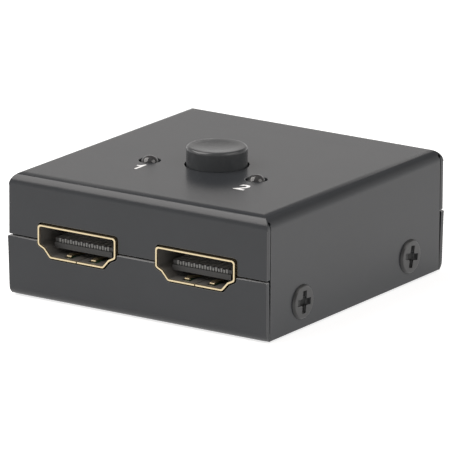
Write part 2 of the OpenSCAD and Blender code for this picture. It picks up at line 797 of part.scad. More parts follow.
cover();
tray();
side_screws();
standoffs();
pcb();
pcb_screws();
input_1_shell();
input_1_block();
input_1_tongue();
input_1_contacts();
input_2_shell();
input_2_block();
input_2_tongue();
input_2_contacts();
output_shell();
output_block();
output_tongue();
output_contacts();
button_cap();
switch_plunger();
switch_bridge();
switch_spring();
switch_lid();
switch_base();
switch_terminals();
led_1_lamp();
led_1_leads();
led_1_spacer();
led_2_lamp();
led_2_leads();
led_2_spacer();
switch_chip();
switch_chip_leads();
protection_arrays();
capacitors();
resistors();
regulator();
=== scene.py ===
"""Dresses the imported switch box: painted case, plated sockets, lamps, push button and a pale stage."""
import json
import math

import bmesh
import bpy
from bpy.props import FloatProperty, FloatVectorProperty, PointerProperty
from mathutils import Matrix, Vector


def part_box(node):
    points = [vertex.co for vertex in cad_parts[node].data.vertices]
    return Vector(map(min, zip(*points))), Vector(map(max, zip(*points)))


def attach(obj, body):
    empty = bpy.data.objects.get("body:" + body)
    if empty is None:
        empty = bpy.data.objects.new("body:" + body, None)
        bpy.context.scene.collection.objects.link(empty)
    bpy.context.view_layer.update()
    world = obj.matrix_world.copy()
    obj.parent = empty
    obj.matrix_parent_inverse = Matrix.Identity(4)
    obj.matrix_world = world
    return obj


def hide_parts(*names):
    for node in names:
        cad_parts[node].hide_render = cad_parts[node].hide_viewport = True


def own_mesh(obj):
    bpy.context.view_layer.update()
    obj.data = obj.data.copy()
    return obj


bl_info = {
    "name": "Switch box dressing",
    "version": (1, 0, 0),
    "blender": (4, 5, 0),
    "location": "3D View > Sidebar > Switch box",
    "description": "Finishes and fine shapes for a two-way video switch box",
    "category": "Object",
}

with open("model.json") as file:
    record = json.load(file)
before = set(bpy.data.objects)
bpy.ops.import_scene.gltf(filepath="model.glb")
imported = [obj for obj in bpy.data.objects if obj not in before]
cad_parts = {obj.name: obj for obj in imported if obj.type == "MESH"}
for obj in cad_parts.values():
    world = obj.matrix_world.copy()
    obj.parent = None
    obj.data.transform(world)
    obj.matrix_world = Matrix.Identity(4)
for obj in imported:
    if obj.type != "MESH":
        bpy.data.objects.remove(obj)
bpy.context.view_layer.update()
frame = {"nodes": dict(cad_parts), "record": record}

MM = 0.001
WELD = 0.0002 * MM
BEVEL_STEPS = 2
FLAT = math.radians(0.3)
SHARP = math.radians(40)
SOCKETS = ("input_1", "input_2", "output")
LAMPS = ("led_1", "led_2")
# Face masks: the first marks cut edges painted paler, partly bare metal and partly a painted highlight; the
# second marks hollows painted darker as painted shade.
BARE_AND_LIT = "worn_edge"
INNER = "inner_wall"


def length(name, description, default):
    """A size in metres that a user can change."""
    return FloatProperty(name=name, description=description, default=default, min=0, subtype="DISTANCE",
                         unit="LENGTH", precision=5)


def share(name, description, default):
    """A plain number from 0 to 1."""
    return FloatProperty(name=name, description=description, default=default, min=0, max=1)


def level(name, description, default):
    """Brightness of a light or a background, where 1 is white."""
    return FloatProperty(name=name, description=description, default=default, min=0)


def angle(name, description, degrees):
    """An angle that is written here in degrees."""
    return FloatProperty(name=name, description=description, default=math.radians(degrees), subtype="ANGLE",
                         unit="ROTATION")


def colour(name, description, default):
    """A linear colour."""
    return FloatVectorProperty(name=name, description=description, default=default, size=3, min=0, max=1,
                               subtype="COLOR")


class SWITCHBOX_PG_case(bpy.types.PropertyGroup):
    """Look of the folded case and its screws."""

    paint: colour("Paint", "Colour of the satin paint", (0.029, 0.0318, 0.0358))
    gloss_blur: share("Paint roughness", "How far the paint blurs what it mirrors", 0.24)
    edge_round: length("Edge rounding", "Rounding of the sheet's cut edges", 0.12 * MM)
    # Paler edge colour, how strongly the cut edges take it, and the seam lip that gets it: partly bare
    # metal, partly a painted highlight.
    edge: colour("Edge", "Colour of the sheet where an edge is bare", (0.24, 0.242, 0.245))
    edge_bare_and_lit: share("Edge wear", "How bare the cut edges are", 0.25)
    lip: length("Lip", "Height of the bare lip along the seam", 0.15 * MM)
    peel: length("Orange peel", "Size of the ripples in the paint", 0.6 * MM)
    corner: length("Corner", "Reach of the folded corners, whose edges stay as they are", 2.2 * MM)
    screw: colour("Screw", "Colour of the blackened screws", (0.034, 0.0345, 0.035))
    screw_round: length("Screw rounding", "Rounding of the screw heads' edges", 0.09 * MM)


class SWITCHBOX_PG_socket(bpy.types.PropertyGroup):
    """Look of the three sockets."""

    gilt: colour("Plating", "Colour of the shells' plating", (0.61, 0.51, 0.33))
    contact: colour("Contacts", "Colour of the contacts", (0.2, 0.2, 0.193))
    plastic: colour("Plastic", "Colour of the tongues at their noses", (0.033, 0.033, 0.032))
    # Paler grey painted on the tongues and contact blades deep in the sockets: painted light.
    lifted_grey: colour("Scuffed plastic", "Colour of the tongues where plugs rub", (0.3, 0.296, 0.288))
    # The blocks' light grey stands in for light deep in the sockets: painted light.
    block: colour("Block", "Colour of the blocks behind the tongues", (0.34, 0.336, 0.328))
    rim_round: length("Rim rounding", "Rounding of the shells' sheared edges", 0.07 * MM)
    # Inner colour and the depth at which it is reached: painted shade on the shells' inner walls.
    inner: colour("Inner plating", "Colour of the dull plating inside a shell", (0.165, 0.158, 0.147))
    shade_to: length("Dull to", "Depth at which the inner plating is fully dull", 0.5 * MM)


class SWITCHBOX_PG_top(bpy.types.PropertyGroup):
    """Look of the button, the lamps and the printed numerals."""

    cap: colour("Button", "Colour of the button's cap", (0.0425, 0.0455, 0.0485))
    cap_round: length("Button rounding", "Rounding of the cap's edges", 0.05 * MM)
    epoxy: colour("Epoxy", "Colour of the lamps' epoxy", (0.04, 0.04, 0.042))
    ink: colour("Ink", "Colour of the numerals", (0.95, 0.95, 0.95))
    ink_film: length("Ink film", "Thickness of the printed ink", 0.015 * MM)
    numeral: length("Numeral height", "Height of the numerals", 2.9 * MM)
    stroke: length("Numeral stroke", "Width of the numerals' strokes", 0.42 * MM)


class SWITCHBOX_PG_stage(bpy.types.PropertyGroup):
    """Camera, floor and lights."""

    azimuth: angle("Azimuth", "Camera's turn to the right of the front", 33.748)
    elevation: angle("Elevation", "Camera's height above the horizon", 15.658)
    roll: angle("Roll", "Camera's turn about its own axis", 0.2435)
    distance: length("Distance", "From the camera to the point it looks at", 1092.6 * MM)
    aim: FloatVectorProperty(name="Aim", description="Point that the camera looks at", precision=6,
                             default=(-0.2035 * MM, -0.3595 * MM, 9.3369 * MM), subtype="TRANSLATION")
    lens: FloatProperty(name="Lens", description="Focal length on a 36 mm sensor", default=560.37)
    floor: colour("Floor", "Colour of the floor", (0.57, 0.57, 0.57))
    floor_fill: share("Floor fill", "Extra white of the floor where it is seen", 0.74)
    horizon: level("Horizon", "Brightness of the surroundings at the horizon", 1.0)
    low: level("Low", "Brightness of the surroundings a little higher", 0.72)
    gap: level("Gap", "Brightness of the dark band above them", 0.25)
    zenith: level("Zenith", "Brightness overhead", 0.5)
    warm: colour("Warmth", "Tint of the lights and of the higher surroundings", (1.0, 0.965, 0.94))
    overhead: level("Overhead light", "Brightness of the softbox over the front", 4.2)
    side: level("Side light", "Brightness of the softbox on the right", 2.4)


LOOKS = {
    "switchbox_case": SWITCHBOX_PG_case,
    "switchbox_socket": SWITCHBOX_PG_socket,
    "switchbox_top": SWITCHBOX_PG_top,
    "switchbox_stage": SWITCHBOX_PG_stage,
}


class Link:
    """A shader socket that takes part in Python arithmetic; each operation adds a Math node."""

    def __init__(self, finish, socket):
        self.finish = finish
        self.socket = socket

    def math(self, operation, first, second):
        """Adds the Math node of one operation."""
        return self.finish.node("ShaderNodeMath", {"operation": operation}, {0: first, 1: second})

    def __add__(self, other):
        return self.math("ADD", self, other)

    def __sub__(self, other):
        return self.math("SUBTRACT", self, other)

    def __mul__(self, other):
        return self.math("MULTIPLY", self, other)

    def __radd__(self, other):
        return self.math("ADD", other, self)

    def __rsub__(self, other):
        return self.math("SUBTRACT", other, self)

    def __rmul__(self, other):
        return self.math("MULTIPLY", other, self)

    def __abs__(self):
        return self.math("ABSOLUTE", self, 0)


class Finish:
    """Builds one material, or the world, node by node."""

    def __init__(self, owner):
        owner.use_nodes = True
        self.owner = owner
        self.tree = owner.node_tree
        self.tree.nodes.clear()

    def node(self, kind, settings=None, sockets=None, out=0):
        """Adds a node: its settings first, then the values or links of its sockets."""
        made = self.tree.nodes.new(kind)
        for name, value in (settings or {}).items():
            if name == "stops":
                self.ramp(made.color_ramp, value)
            else:
                setattr(made, name, value)
        for name, value in (sockets or {}).items():
            if isinstance(value, Link):
                self.tree.links.new(value.socket, made.inputs[name])
            else:
                made.inputs[name].default_value = value
        return Link(self, made.outputs[out]) if len(made.outputs) else None

    def ramp(self, ramp, stops):
        """Sets a colour ramp's stops from pairs of place and colour."""
        while len(ramp.elements) < len(stops):
            ramp.elements.new(1)
        for element, (place, tone) in zip(ramp.elements, stops):
            element.position = place
            element.color = rgba(tone)

    def place(self):
        """The point on the piece, in metres."""
        return self.node("ShaderNodeTexCoord", out="Object")

    def along(self, axis):
        """One coordinate of the point on the piece."""
        return self.node("ShaderNodeSeparateXYZ", None, {"Vector": self.place()}, out=axis)

    def noise(self, size, detail=2.0, rough=0.5):
        """Noise from 0 to 1 whose blotches are about as large as size."""
        sockets = {"Vector": self.place(), "Scale": 1 / size, "Detail": detail, "Roughness": rough}
        return self.node("ShaderNodeTexNoise", None, sockets)

    def mask(self, name):
        """A mask that the piece's own faces carry."""
        return self.node("ShaderNodeAttribute", {"attribute_name": name}, out="Fac")

    def cells(self, size):
        """Distance to the nearest of scattered points, from 0 to about 1."""
        return self.node("ShaderNodeTexVoronoi", None, {"Vector": self.place(), "Scale": 1 / size})

    def step(self, value, low, high):
        """0 below low and 1 above high, with a soft change between."""
        sockets = {"Value": value, "From Min": low, "From Max": high}
        return self.node("ShaderNodeMapRange", {"interpolation_type": "SMOOTHSTEP"}, sockets)

    def mix(self, factor, first, second):
        """A colour between two others."""
        sockets = {0: factor, 6: rgba(first), 7: rgba(second)}
        return self.node("ShaderNodeMix", {"data_type": "RGBA"}, sockets, out=2)

    def bump(self, height, depth):
        """Normals of a surface whose relief is as deep as depth."""
        return self.node("ShaderNodeBump", None, {"Strength": 1.0, "Distance": depth, "Height": height})

    def surface(self, sockets):
        """Ends the material in one Principled shader."""
        shader = self.node("ShaderNodeBsdfPrincipled", None, sockets)
        self.node("ShaderNodeOutputMaterial", None, {"Surface": shader})
        return self.owner


def rgba(value):
    """A link as it is, or a colour with full alpha."""
    return value if isinstance(value, Link) else (*value[:3], 1.0)


def shade(tone, factor):
    """A colour made lighter or darker by a factor."""
    return tuple(min(1.0, part * factor) for part in tone)


def new_finish(name):
    """A new material, still without nodes."""
    return Finish(bpy.data.materials.new(name))


def looks(context, name):
    """One group of the scene's settings."""
    return getattr(context.scene, "switchbox_" + name)


# Finishes
def satin_paint(look):
    """Sprayed satin paint: faint orange peel, a slow drift of tone, fine dust nibs, and cut edges painted
    paler, partly bare metal and partly a painted highlight.
    """
    finish = new_finish("satin_paint")
    bare_and_lit = finish.mask(BARE_AND_LIT) * (0.7 + 0.5 * finish.noise(1.6 * MM, 3))
    drift = finish.noise(9 * MM, 3)
    peel = finish.noise(look.peel, 2)
    nib = 1 - finish.step(finish.cells(1.1 * MM), 0.02, 0.1)
    sprayed = finish.mix(drift, shade(look.paint, 0.86), shade(look.paint, 1.14))
    # Cut edges and the seam lip are painted paler: partly bare metal, partly a painted highlight.
    tone = finish.mix(bare_and_lit, sprayed, look.edge)
    blur = look.gloss_blur + 0.06 * (drift - 0.5) + 0.05 * (peel - 0.5)
    relief = peel + 0.5 * nib
    return finish.surface({"Base Color": tone, "Roughness": blur, "IOR": 1.42,
                           "Normal": finish.bump(relief, 0.004 * MM)})


def black_oxide(look):
    """Blackened screw steel with fine turning grain, random bare patches, head rims painted paler (partly
    bare steel, partly a painted highlight) and cross recesses painted darker as painted shade.
    """
    finish = new_finish("black_oxide")
    grain = finish.noise(0.25 * MM, 4, 0.6)
    paler_part = finish.step(finish.noise(0.9 * MM, 3), 0.62, 0.8)
    # Random bare patches, and the rims of the heads painted paler: partly bare steel, partly a painted
    # highlight.
    bare_and_lit = 0.4 * paler_part + 0.5 * finish.mask(BARE_AND_LIT)
    # The cross recesses are painted darker and fully metallic: painted shade.
    oxide_and_shade = finish.mix(finish.mask(INNER), look.screw, shade(look.screw, 0.3))
    tone = finish.mix(bare_and_lit, oxide_and_shade, shade(look.screw, 2.6))
    blur = 0.36 + 0.16 * (grain - 0.5)
    metal = 0.25 * bare_and_lit + finish.mask(INNER)
    return finish.surface({"Base Color": tone, "Metallic": metal, "Roughness": blur,
                           "Normal": finish.bump(grain, 0.004 * MM)})


def socket_depth(finish):
    """How far behind the sockets' mouths a point lies."""
    return -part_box("input_1_shell")[0].y - abs(finish.along("Y"))


def gilt_plating(look):
    """Thin gilt plating over rolled sheet; behind the mouth the inner walls are painted darker and less
    metallic, as painted shade.
    """
    finish = new_finish("gilt_plating")
    behind = finish.step(socket_depth(finish), 0.1 * MM, look.shade_to)
    # Painted shade: the inner walls darken from the mouth inwards.
    depth_tone = behind * finish.mask(INNER)
    rolled = finish.noise(0.35 * MM, 3)
    bright = finish.mix(rolled, shade(look.gilt, 0.88), shade(look.gilt, 1.1))
    tone = finish.mix(depth_tone, bright, look.inner)
    blur = 0.24 + 0.2 * behind + 0.1 * (rolled - 0.5)
    return finish.surface({"Base Color": tone, "Metallic": 1 - 0.8 * depth_tone, "Roughness": blur,
                           "Normal": finish.bump(rolled, 0.002 * MM)})


def contact_plating(look):
    """Plated contact strip, bright at the folded tips; the blades behind them are painted the paler grey of
    the tongues, as painted light in the deep socket.
    """
    finish = new_finish("contact_plating")
    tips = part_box("input_1_contacts")[0].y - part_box("input_1_shell")[0].y
    depth_tone = finish.step(socket_depth(finish), tips + 0.1 * MM, tips + 0.3 * MM)
    rolled = finish.noise(0.12 * MM, 2)
    bright = finish.mix(rolled, shade(look.contact, 0.85), shade(look.contact, 1.1))
    # Painted light: the blades deep in the socket take the paler grey and lose their shine.
    tone = finish.mix(depth_tone, bright, look.lifted_grey)
    return finish.surface({"Base Color": tone, "Metallic": 0.6 - 0.5 * depth_tone,
                           "Roughness": 0.38 + 0.1 * (rolled - 0.5)})


def scuffed_plastic(look):
    """Moulded tongue, dark at its nose and painted a paler grey deeper in, as painted light inside the
    socket.
    """
    finish = new_finish("scuffed_plastic")
    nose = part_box("input_1_tongue")[0].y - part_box("input_1_shell")[0].y
    # Painted light: the tongue turns paler grey deeper in the socket, where shade falls.
    paler_part = finish.step(socket_depth(finish), nose + 0.3 * MM, nose + 0.9 * MM)
    grain = finish.noise(0.12 * MM, 3, 0.6)
    streaks = finish.noise(0.5 * MM, 3)
    tone = finish.mix(paler_part * (0.8 + 0.4 * streaks), look.plastic, look.lifted_grey)
    return finish.surface({"Base Color": tone, "Roughness": 0.45 + 0.1 * (grain - 0.5),
                           "Normal": finish.bump(grain, 0.004 * MM)})


def moulded(name, tone, size, depth, blur):
    """Moulded plastic with a fine spark-eroded grain."""
    finish = new_finish(name)
    grain = finish.noise(size, 3, 0.6)
    drift = finish.noise(20 * size, 2)
    mixed = finish.mix(drift, shade(tone, 0.88), shade(tone, 1.12))
    return finish.surface({"Base Color": mixed, "Roughness": blur + 0.1 * (grain - 0.5),
                           "Normal": finish.bump(grain, depth)})


def smoked_epoxy(look):
    """Smoked cast epoxy with a glossy, slightly uneven skin."""
    finish = new_finish("smoked_epoxy")
    skin = finish.noise(0.8 * MM, 2)
    tone = finish.mix(skin, shade(look.epoxy, 0.85), shade(look.epoxy, 1.15))
    return finish.surface({"Base Color": tone, "Roughness": 0.05 + 0.06 * skin, "IOR": 1.53,
                           "Transmission Weight": 0.2})


def printed_ink(look):
    """Screen-printed ink with a faint mesh and softly uneven cover."""
    finish = new_finish("printed_ink")
    cover = finish.noise(0.15 * MM, 3)
    tone = finish.mix(cover, shade(look.ink, 0.9), shade(look.ink, 1.03))
    return finish.surface({"Base Color": tone, "Roughness": 0.5 + 0.1 * (cover - 0.5),
                           "Normal": finish.bump(cover, 0.002 * MM)})


def bright_steel():
    """Zinc-plated steel with a drawn grain."""
    finish = new_finish("bright_steel")
    grain = finish.noise(0.2 * MM, 4, 0.6)
    tone = finish.mix(grain, (0.36, 0.37, 0.38), (0.52, 0.53, 0.54))
    return finish.surface({"Base Color": tone, "Metallic": 1.0, "Roughness": 0.34 + 0.2 * (grain - 0.5),
                           "Normal": finish.bump(grain, 0.002 * MM)})


def bare_copper():
    """Copper strip, a little tarnished."""
    finish = new_finish("bare_copper")
    tarnish = finish.noise(0.6 * MM, 4, 0.6)
    tone = finish.mix(tarnish, (0.6, 0.27, 0.13), (0.36, 0.17, 0.09))
    return finish.surface({"Base Color": tone, "Metallic": 1.0, "Roughness": 0.3 + 0.25 * tarnish})


def solder_mask():
    """Green solder mask over glass laminate, with the faint relief of the tracks under it."""
    finish = new_finish("solder_mask")
    weave = finish.noise(0.5 * MM, 2)
    tracks = finish.step(finish.cells(2.4 * MM), 0.42, 0.46)
    tone = finish.mix(tracks, (0.012, 0.085, 0.03), (0.02, 0.13, 0.05))
    return finish.surface({"Base Color": tone, "Roughness": 0.3 + 0.1 * (weave - 0.5),
                           "Normal": finish.bump(tracks + 0.2 * weave, 0.02 * MM)})


def fired_ceramic():
    """Tan ceramic with fine speckle."""
    finish = new_finish("fired_ceramic")
    speckle = finish.noise(0.08 * MM, 4, 0.7)
    tone = finish.mix(speckle, (0.26, 0.17, 0.08), (0.42, 0.3, 0.17))
    return finish.surface({"Base Color": tone, "Roughness": 0.5 + 0.15 * (speckle - 0.5)})


# Shapes
def soften(shape):
    """Smooth shading that keeps the sharp edges."""
    for face in shape.faces:
        face.smooth = True
    for edge in shape.edges:
        edge.smooth = len(edge.link_faces) == 2 and edge.calc_face_angle(0) < SHARP


def piece_from(shape, name, finish, body, slot, *nodes):
    """Turns a finished bmesh into a piece that rides on a body and stands for CAD nodes."""
    soften(shape)
    mesh = bpy.data.meshes.new(name)
    shape.to_mesh(mesh)
    shape.free()
    mesh.materials.append(finish)
    piece = bpy.data.objects.new(name, mesh)
    bpy.context.scene.collection.objects.link(piece)
    weighted = piece.modifiers.new("Even shading", "WEIGHTED_NORMAL")
    weighted.keep_sharp = True
    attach(piece, body)
    if nodes:
        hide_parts(*nodes)
    return piece


def at_corner(point, box, reach):
    """Whether a point lies in one of a box's upper corners."""
    low, high = box
    from_side = min(point.x - low.x, high.x - point.x)
    from_end = min(point.y - low.y, high.y - point.y)
    return max(from_side, from_end, high.z - point.z) < reach


def rounded_copy(node, radius, corner=0.0, bare_and_lit_level=1.0):
    """A merged copy of a CAD node; its sharp edges are rounded and marked to be painted paler (partly bare
    metal, partly a painted highlight), except at folded corners.
    """
    shape = bmesh.new()
    shape.from_mesh(frame["nodes"][node].data)
    bare_and_lit = shape.faces.layers.float.new(BARE_AND_LIT)
    bmesh.ops.remove_doubles(shape, verts=shape.verts, dist=WELD)
    bmesh.ops.dissolve_limit(shape, angle_limit=FLAT, verts=shape.verts, edges=shape.edges)
    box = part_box(node)
    sharp = [edge for edge in shape.edges if len(edge.link_faces) == 2 and edge.calc_face_angle(0) > SHARP
             and not all(at_corner(vert.co, box, corner) for vert in edge.verts)]
    made = bmesh.ops.bevel(shape, geom=sharp, offset=radius, offset_type="OFFSET", segments=BEVEL_STEPS,
                           profile=0.5, affect="EDGES", material=-1, clamp_overlap=False)
    for face in made["faces"]:
        face[bare_and_lit] = bare_and_lit_level
    bmesh.ops.remove_doubles(shape, verts=shape.verts, dist=WELD)
    bmesh.ops.dissolve_degenerate(shape, edges=shape.edges, dist=WELD)
    return shape


def mark_lip(shape, height):
    """Marks the upper ends of the tray's flanges, along the seam, to be painted paler: a painted highlight
    where the light line along the seam falls, partly bare metal.
    """
    bare_and_lit = shape.faces.layers.float[BARE_AND_LIT]
    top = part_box("tray")[1].z
    for face in shape.faces:
        if face.calc_center_median().z > top - height:
            face[bare_and_lit] = 1.0


def mark_recess(shape, reach=2.0 * MM, depth=0.04 * MM):
    """Marks the cross recesses of the side screws, near the axes and below the tops of the heads, to be
    painted darker as painted shade.
    """
    inner = shape.faces.layers.float.new(INNER)
    low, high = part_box("side_screws")
    head_r = (high.z - low.z) / 2
    for face in shape.faces:
        middle = face.calc_center_median()
        off_axis = math.hypot(abs(middle.y) - high.y + head_r, middle.z - low.z - head_r)
        sunk = abs(middle.x) < high.x - depth
        face[inner] = 1.0 if sunk and off_axis < reach else 0.0


def mark_inner(shape, centre, finger_z=(-1.75 * MM, -1.1 * MM), finger_x=3.0 * MM):
    """Marks the walls of a socket's shell that face its middle line, but not its two spring fingers, to be
    painted darker as painted shade.
    """
    inner = shape.faces.layers.float.new(INNER)
    for face in shape.faces:
        outwards = face.calc_center_median() - centre
        outwards.y = 0
        finger = finger_z[0] < outwards.z < finger_z[1] and abs(outwards.x) < finger_x
        face[inner] = 1.0 if face.normal.dot(outwards) < 0 and not finger else 0.0


def turned(profile, centre, steps):
    """A solid turned about a vertical axis from (radius, height) points that start and end on it."""
    shape = bmesh.new()
    points = [shape.verts.new((radius, 0, height)) for radius, height in profile]
    edges = [shape.edges.new(pair) for pair in zip(points, points[1:])]
    bmesh.ops.spin(shape, geom=points + edges, cent=(0, 0, 0), axis=(0, 0, 1), dvec=(0, 0, 0),
                   angle=math.tau, steps=steps, use_merge=True, use_duplicate=False)
    bmesh.ops.remove_doubles(shape, verts=shape.verts, dist=WELD)
    bmesh.ops.recalc_face_normals(shape, faces=shape.faces)
    bmesh.ops.translate(shape, verts=shape.verts, vec=centre)
    return shape


def arc(centre, radius, start, end, count):
    """Points of an arc in the (radius, height) plane, angles in degrees."""
    turns = [math.radians(start + (end - start) * step / count) for step in range(count + 1)]
    return [(centre[0] + radius * math.cos(turn), centre[1] + radius * math.sin(turn)) for turn in turns]


def dress(node, finish):
    """Gives a CAD node a finish."""
    mesh = frame["nodes"][node].data
    mesh.materials.clear()
    mesh.materials.append(finish)


class PieceOperator:
    """Shared settings of the operators."""

    bl_options = {"REGISTER", "UNDO"}


class SWITCHBOX_OT_case(PieceOperator, bpy.types.Operator):
    """Rounds the cut edges of the cover and the tray and paints them"""

    bl_idname = "switchbox.case"
    bl_label = "Case"

    def execute(self, context):
        look = looks(context, "case")
        paint = satin_paint(look)
        for node in ("cover", "tray"):
            shape = rounded_copy(node, look.edge_round, corner=look.corner, bare_and_lit_level=look.edge_bare_and_lit)
            if node == "tray":
                mark_lip(shape, look.lip)
            piece_from(shape, "case_" + node, paint, "case", "case_paint", node)
        return {"FINISHED"}


class SWITCHBOX_OT_screws(PieceOperator, bpy.types.Operator):
    """Rounds and blackens the side screws"""

    bl_idname = "switchbox.screws"
    bl_label = "Side screws"

    def execute(self, context):
        look = looks(context, "case")
        shape = rounded_copy("side_screws", look.screw_round)
        mark_recess(shape)
        piece_from(shape, "side_screw_set", black_oxide(look), "case", "screw_black", "side_screws")
        return {"FINISHED"}


class SWITCHBOX_OT_sockets(PieceOperator, bpy.types.Operator):
    """Plates the shells and finishes the tongues, blocks and contacts"""

    bl_idname = "switchbox.sockets"
    bl_label = "Sockets"

    def execute(self, context):
        look = looks(context, "socket")
        gilt = gilt_plating(look)
        tongue = scuffed_plastic(look)
        # The blocks are painted light grey as painted light deep in the sockets.
        block = moulded("block_plastic", look.block, 0.12 * MM, 0.004 * MM, 0.5)
        contact = contact_plating(look)
        for name in SOCKETS:
            shape = rounded_copy(name + "_shell", look.rim_round)
            mark_inner(shape, sum(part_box(name + "_tongue"), Vector()) / 2)
            piece_from(shape, name + "_rim", gilt, "case", "gilt", name + "_shell")
            dress(name + "_tongue", tongue)
            dress(name + "_block", block)
            dress(name + "_contacts", contact)
        return {"FINISHED"}


class SWITCHBOX_OT_button(PieceOperator, bpy.types.Operator):
    """Finishes the push button's cap"""

    bl_idname = "switchbox.button"
    bl_label = "Button"

    def execute(self, context):
        look = looks(context, "top")
        satin = moulded("cap_plastic", look.cap, 0.1 * MM, 0.003 * MM, 0.26)
        shape = rounded_copy("button_cap", look.cap_round)
        piece_from(shape, "push_cap", satin, "button", "cap_black", "button_cap")
        return {"FINISHED"}


class SWITCHBOX_OT_lamps(PieceOperator, bpy.types.Operator):
    """Casts the two lamps in smoked epoxy"""

    bl_idname = "switchbox.lamps"
    bl_label = "Lamps"

    flange_t = 1.0 * MM
    dome_r = 1.5 * MM
    dome_steps = 12
    turn_steps = 48

    def execute(self, context):
        epoxy = smoked_epoxy(looks(context, "top"))
        for name in LAMPS:
            low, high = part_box(name + "_lamp")
            flange_r = (high.x - low.x) / 2
            shoulder = low.z + self.flange_t
            profile = [(0, low.z), (flange_r, low.z), (flange_r, shoulder), (self.dome_r, shoulder)]
            profile += arc((0, high.z - self.dome_r), self.dome_r, 0, 90, self.dome_steps)
            profile[-1] = (0, high.z)
            centre = Vector(((low.x + high.x) / 2, (low.y + high.y) / 2, 0))
            shape = turned(profile, centre, self.turn_steps)
            piece_from(shape, name + "_dome", epoxy, "case", "lamp_clear", name + "_lamp")
        return {"FINISHED"}


class SWITCHBOX_OT_numerals(PieceOperator, bpy.types.Operator):
    """Prints a numeral beside each lamp"""

    bl_idname = "switchbox.numerals"
    bl_label = "Numerals"

    places = {"1": (-9.86 * MM, -12.5 * MM), "2": (9.95 * MM, -13.5 * MM)}
    flag_l = 0.78 * MM
    flag_low = 1.75 * MM
    flag_t = 0.32 * MM
    flag_curve = ((-0.08 * MM, 0.38 * MM), (-0.34 * MM, 0.08 * MM))
    top_cut = 0.08 * MM
    two_w = 1.95 * MM

    def execute(self, context):
        look = looks(context, "top")
        ink = printed_ink(look)
        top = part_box("cover")[1].z
        shapes = {"1": self.one(look), "2": self.two(context, look)}
        for name, shape in shapes.items():
            place = Vector((*self.places[name], top)) - self.reach(shape)[0]
            bmesh.ops.translate(shape, verts=shape.verts, vec=place)
            piece_from(shape, "numeral_" + name, ink, "case", "white_plastic")
        return {"FINISHED"}

    def one(self, look):
        """An upright with a level flag on its left that curves up to the top."""
        height = look.numeral
        left = self.flag_l
        right = left + look.stroke
        flag_top = self.flag_low + self.flag_t
        shape = bmesh.new()
        curve = [(left + x, flag_top + y) for x, y in self.flag_curve]
        outline = [(left, 0), (right, 0), (right, height), (left + self.top_cut, height), *curve,
                   (0, flag_top), (0, self.flag_low), (left, self.flag_low)]
        face = shape.faces.new([shape.verts.new((x, y, 0)) for x, y in outline])
        raised = bmesh.ops.extrude_face_region(shape, geom=[face], use_keep_orig=True)["geom"]
        risen = [part for part in raised if isinstance(part, bmesh.types.BMVert)]
        bmesh.ops.translate(shape, verts=risen, vec=(0, 0, look.ink_film))
        bmesh.ops.recalc_face_normals(shape, faces=shape.faces)
        return shape

    def two(self, context, look):
        """The figure from the built-in font, as a thin solid."""
        curve = bpy.data.curves.new("numeral_outline", "FONT")
        curve.body = "2"
        curve.size = look.numeral
        curve.offset = look.stroke / 10
        curve.extrude = look.ink_film / 2
        text = bpy.data.objects.new("numeral_outline", curve)
        context.scene.collection.objects.link(text)
        context.view_layer.update()
        mesh = bpy.data.meshes.new_from_object(text.evaluated_get(context.evaluated_depsgraph_get()))
        bpy.data.objects.remove(text)
        shape = bmesh.new()
        shape.from_mesh(mesh)
        bpy.data.meshes.remove(mesh)
        bmesh.ops.remove_doubles(shape, verts=shape.verts, dist=WELD)
        low, high = self.reach(shape)
        size = (self.two_w / (high.x - low.x), look.numeral / (high.y - low.y), 1)
        bmesh.ops.scale(shape, verts=shape.verts, vec=size)
        return shape

    def reach(self, shape):
        """Lowest and highest corner of a shape."""
        low = Vector(min(vert.co[axis] for vert in shape.verts) for axis in range(3))
        high = Vector(max(vert.co[axis] for vert in shape.verts) for axis in range(3))
        return low, high


class SWITCHBOX_OT_inside(PieceOperator, bpy.types.Operator):
    """Finishes the board, the push switch and what is soldered on"""

    bl_idname = "switchbox.inside"
    bl_label = "Inside"

    travel = 2.0 * MM

    def execute(self, context):
        finishes = {
            "plain_steel": bright_steel(),
            "copper": bare_copper(),
            "board": solder_mask(),
            "capacitor_tan": fired_ceramic(),
            "chip_black": moulded("chip_epoxy", (0.012, 0.012, 0.013), 0.06 * MM, 0.003 * MM, 0.5),
            "socket_black": moulded("switch_plastic", (0.012, 0.012, 0.012), 0.12 * MM, 0.004 * MM, 0.5),
            "white_plastic": moulded("white_plastic", (0.7, 0.69, 0.65), 0.12 * MM, 0.003 * MM, 0.45),
        }
        done = [node for node in frame["nodes"] if node.split("_")[0] in ("input", "output")]
        for row in frame["record"]["subparts"]:
            if row["material_slot"] in finishes and row["node"] not in done:
                dress(row["node"], finishes[row["material_slot"]])
        self.coil(finishes["plain_steel"])
        return {"FINISHED"}

    def coil(self, steel):
        """The return spring, copied onto a mesh of its own; it stays as it is when the button goes down."""
        node = "switch_spring"
        slots = {row["node"]: row["material_slot"] for row in frame["record"]["subparts"]}
        shape = bmesh.new()
        shape.from_mesh(frame["nodes"][node].data)
        bmesh.ops.remove_doubles(shape, verts=shape.verts, dist=WELD)
        piece = piece_from(shape, "return_spring", steel, "case", slots[node], node)
        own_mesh(piece)


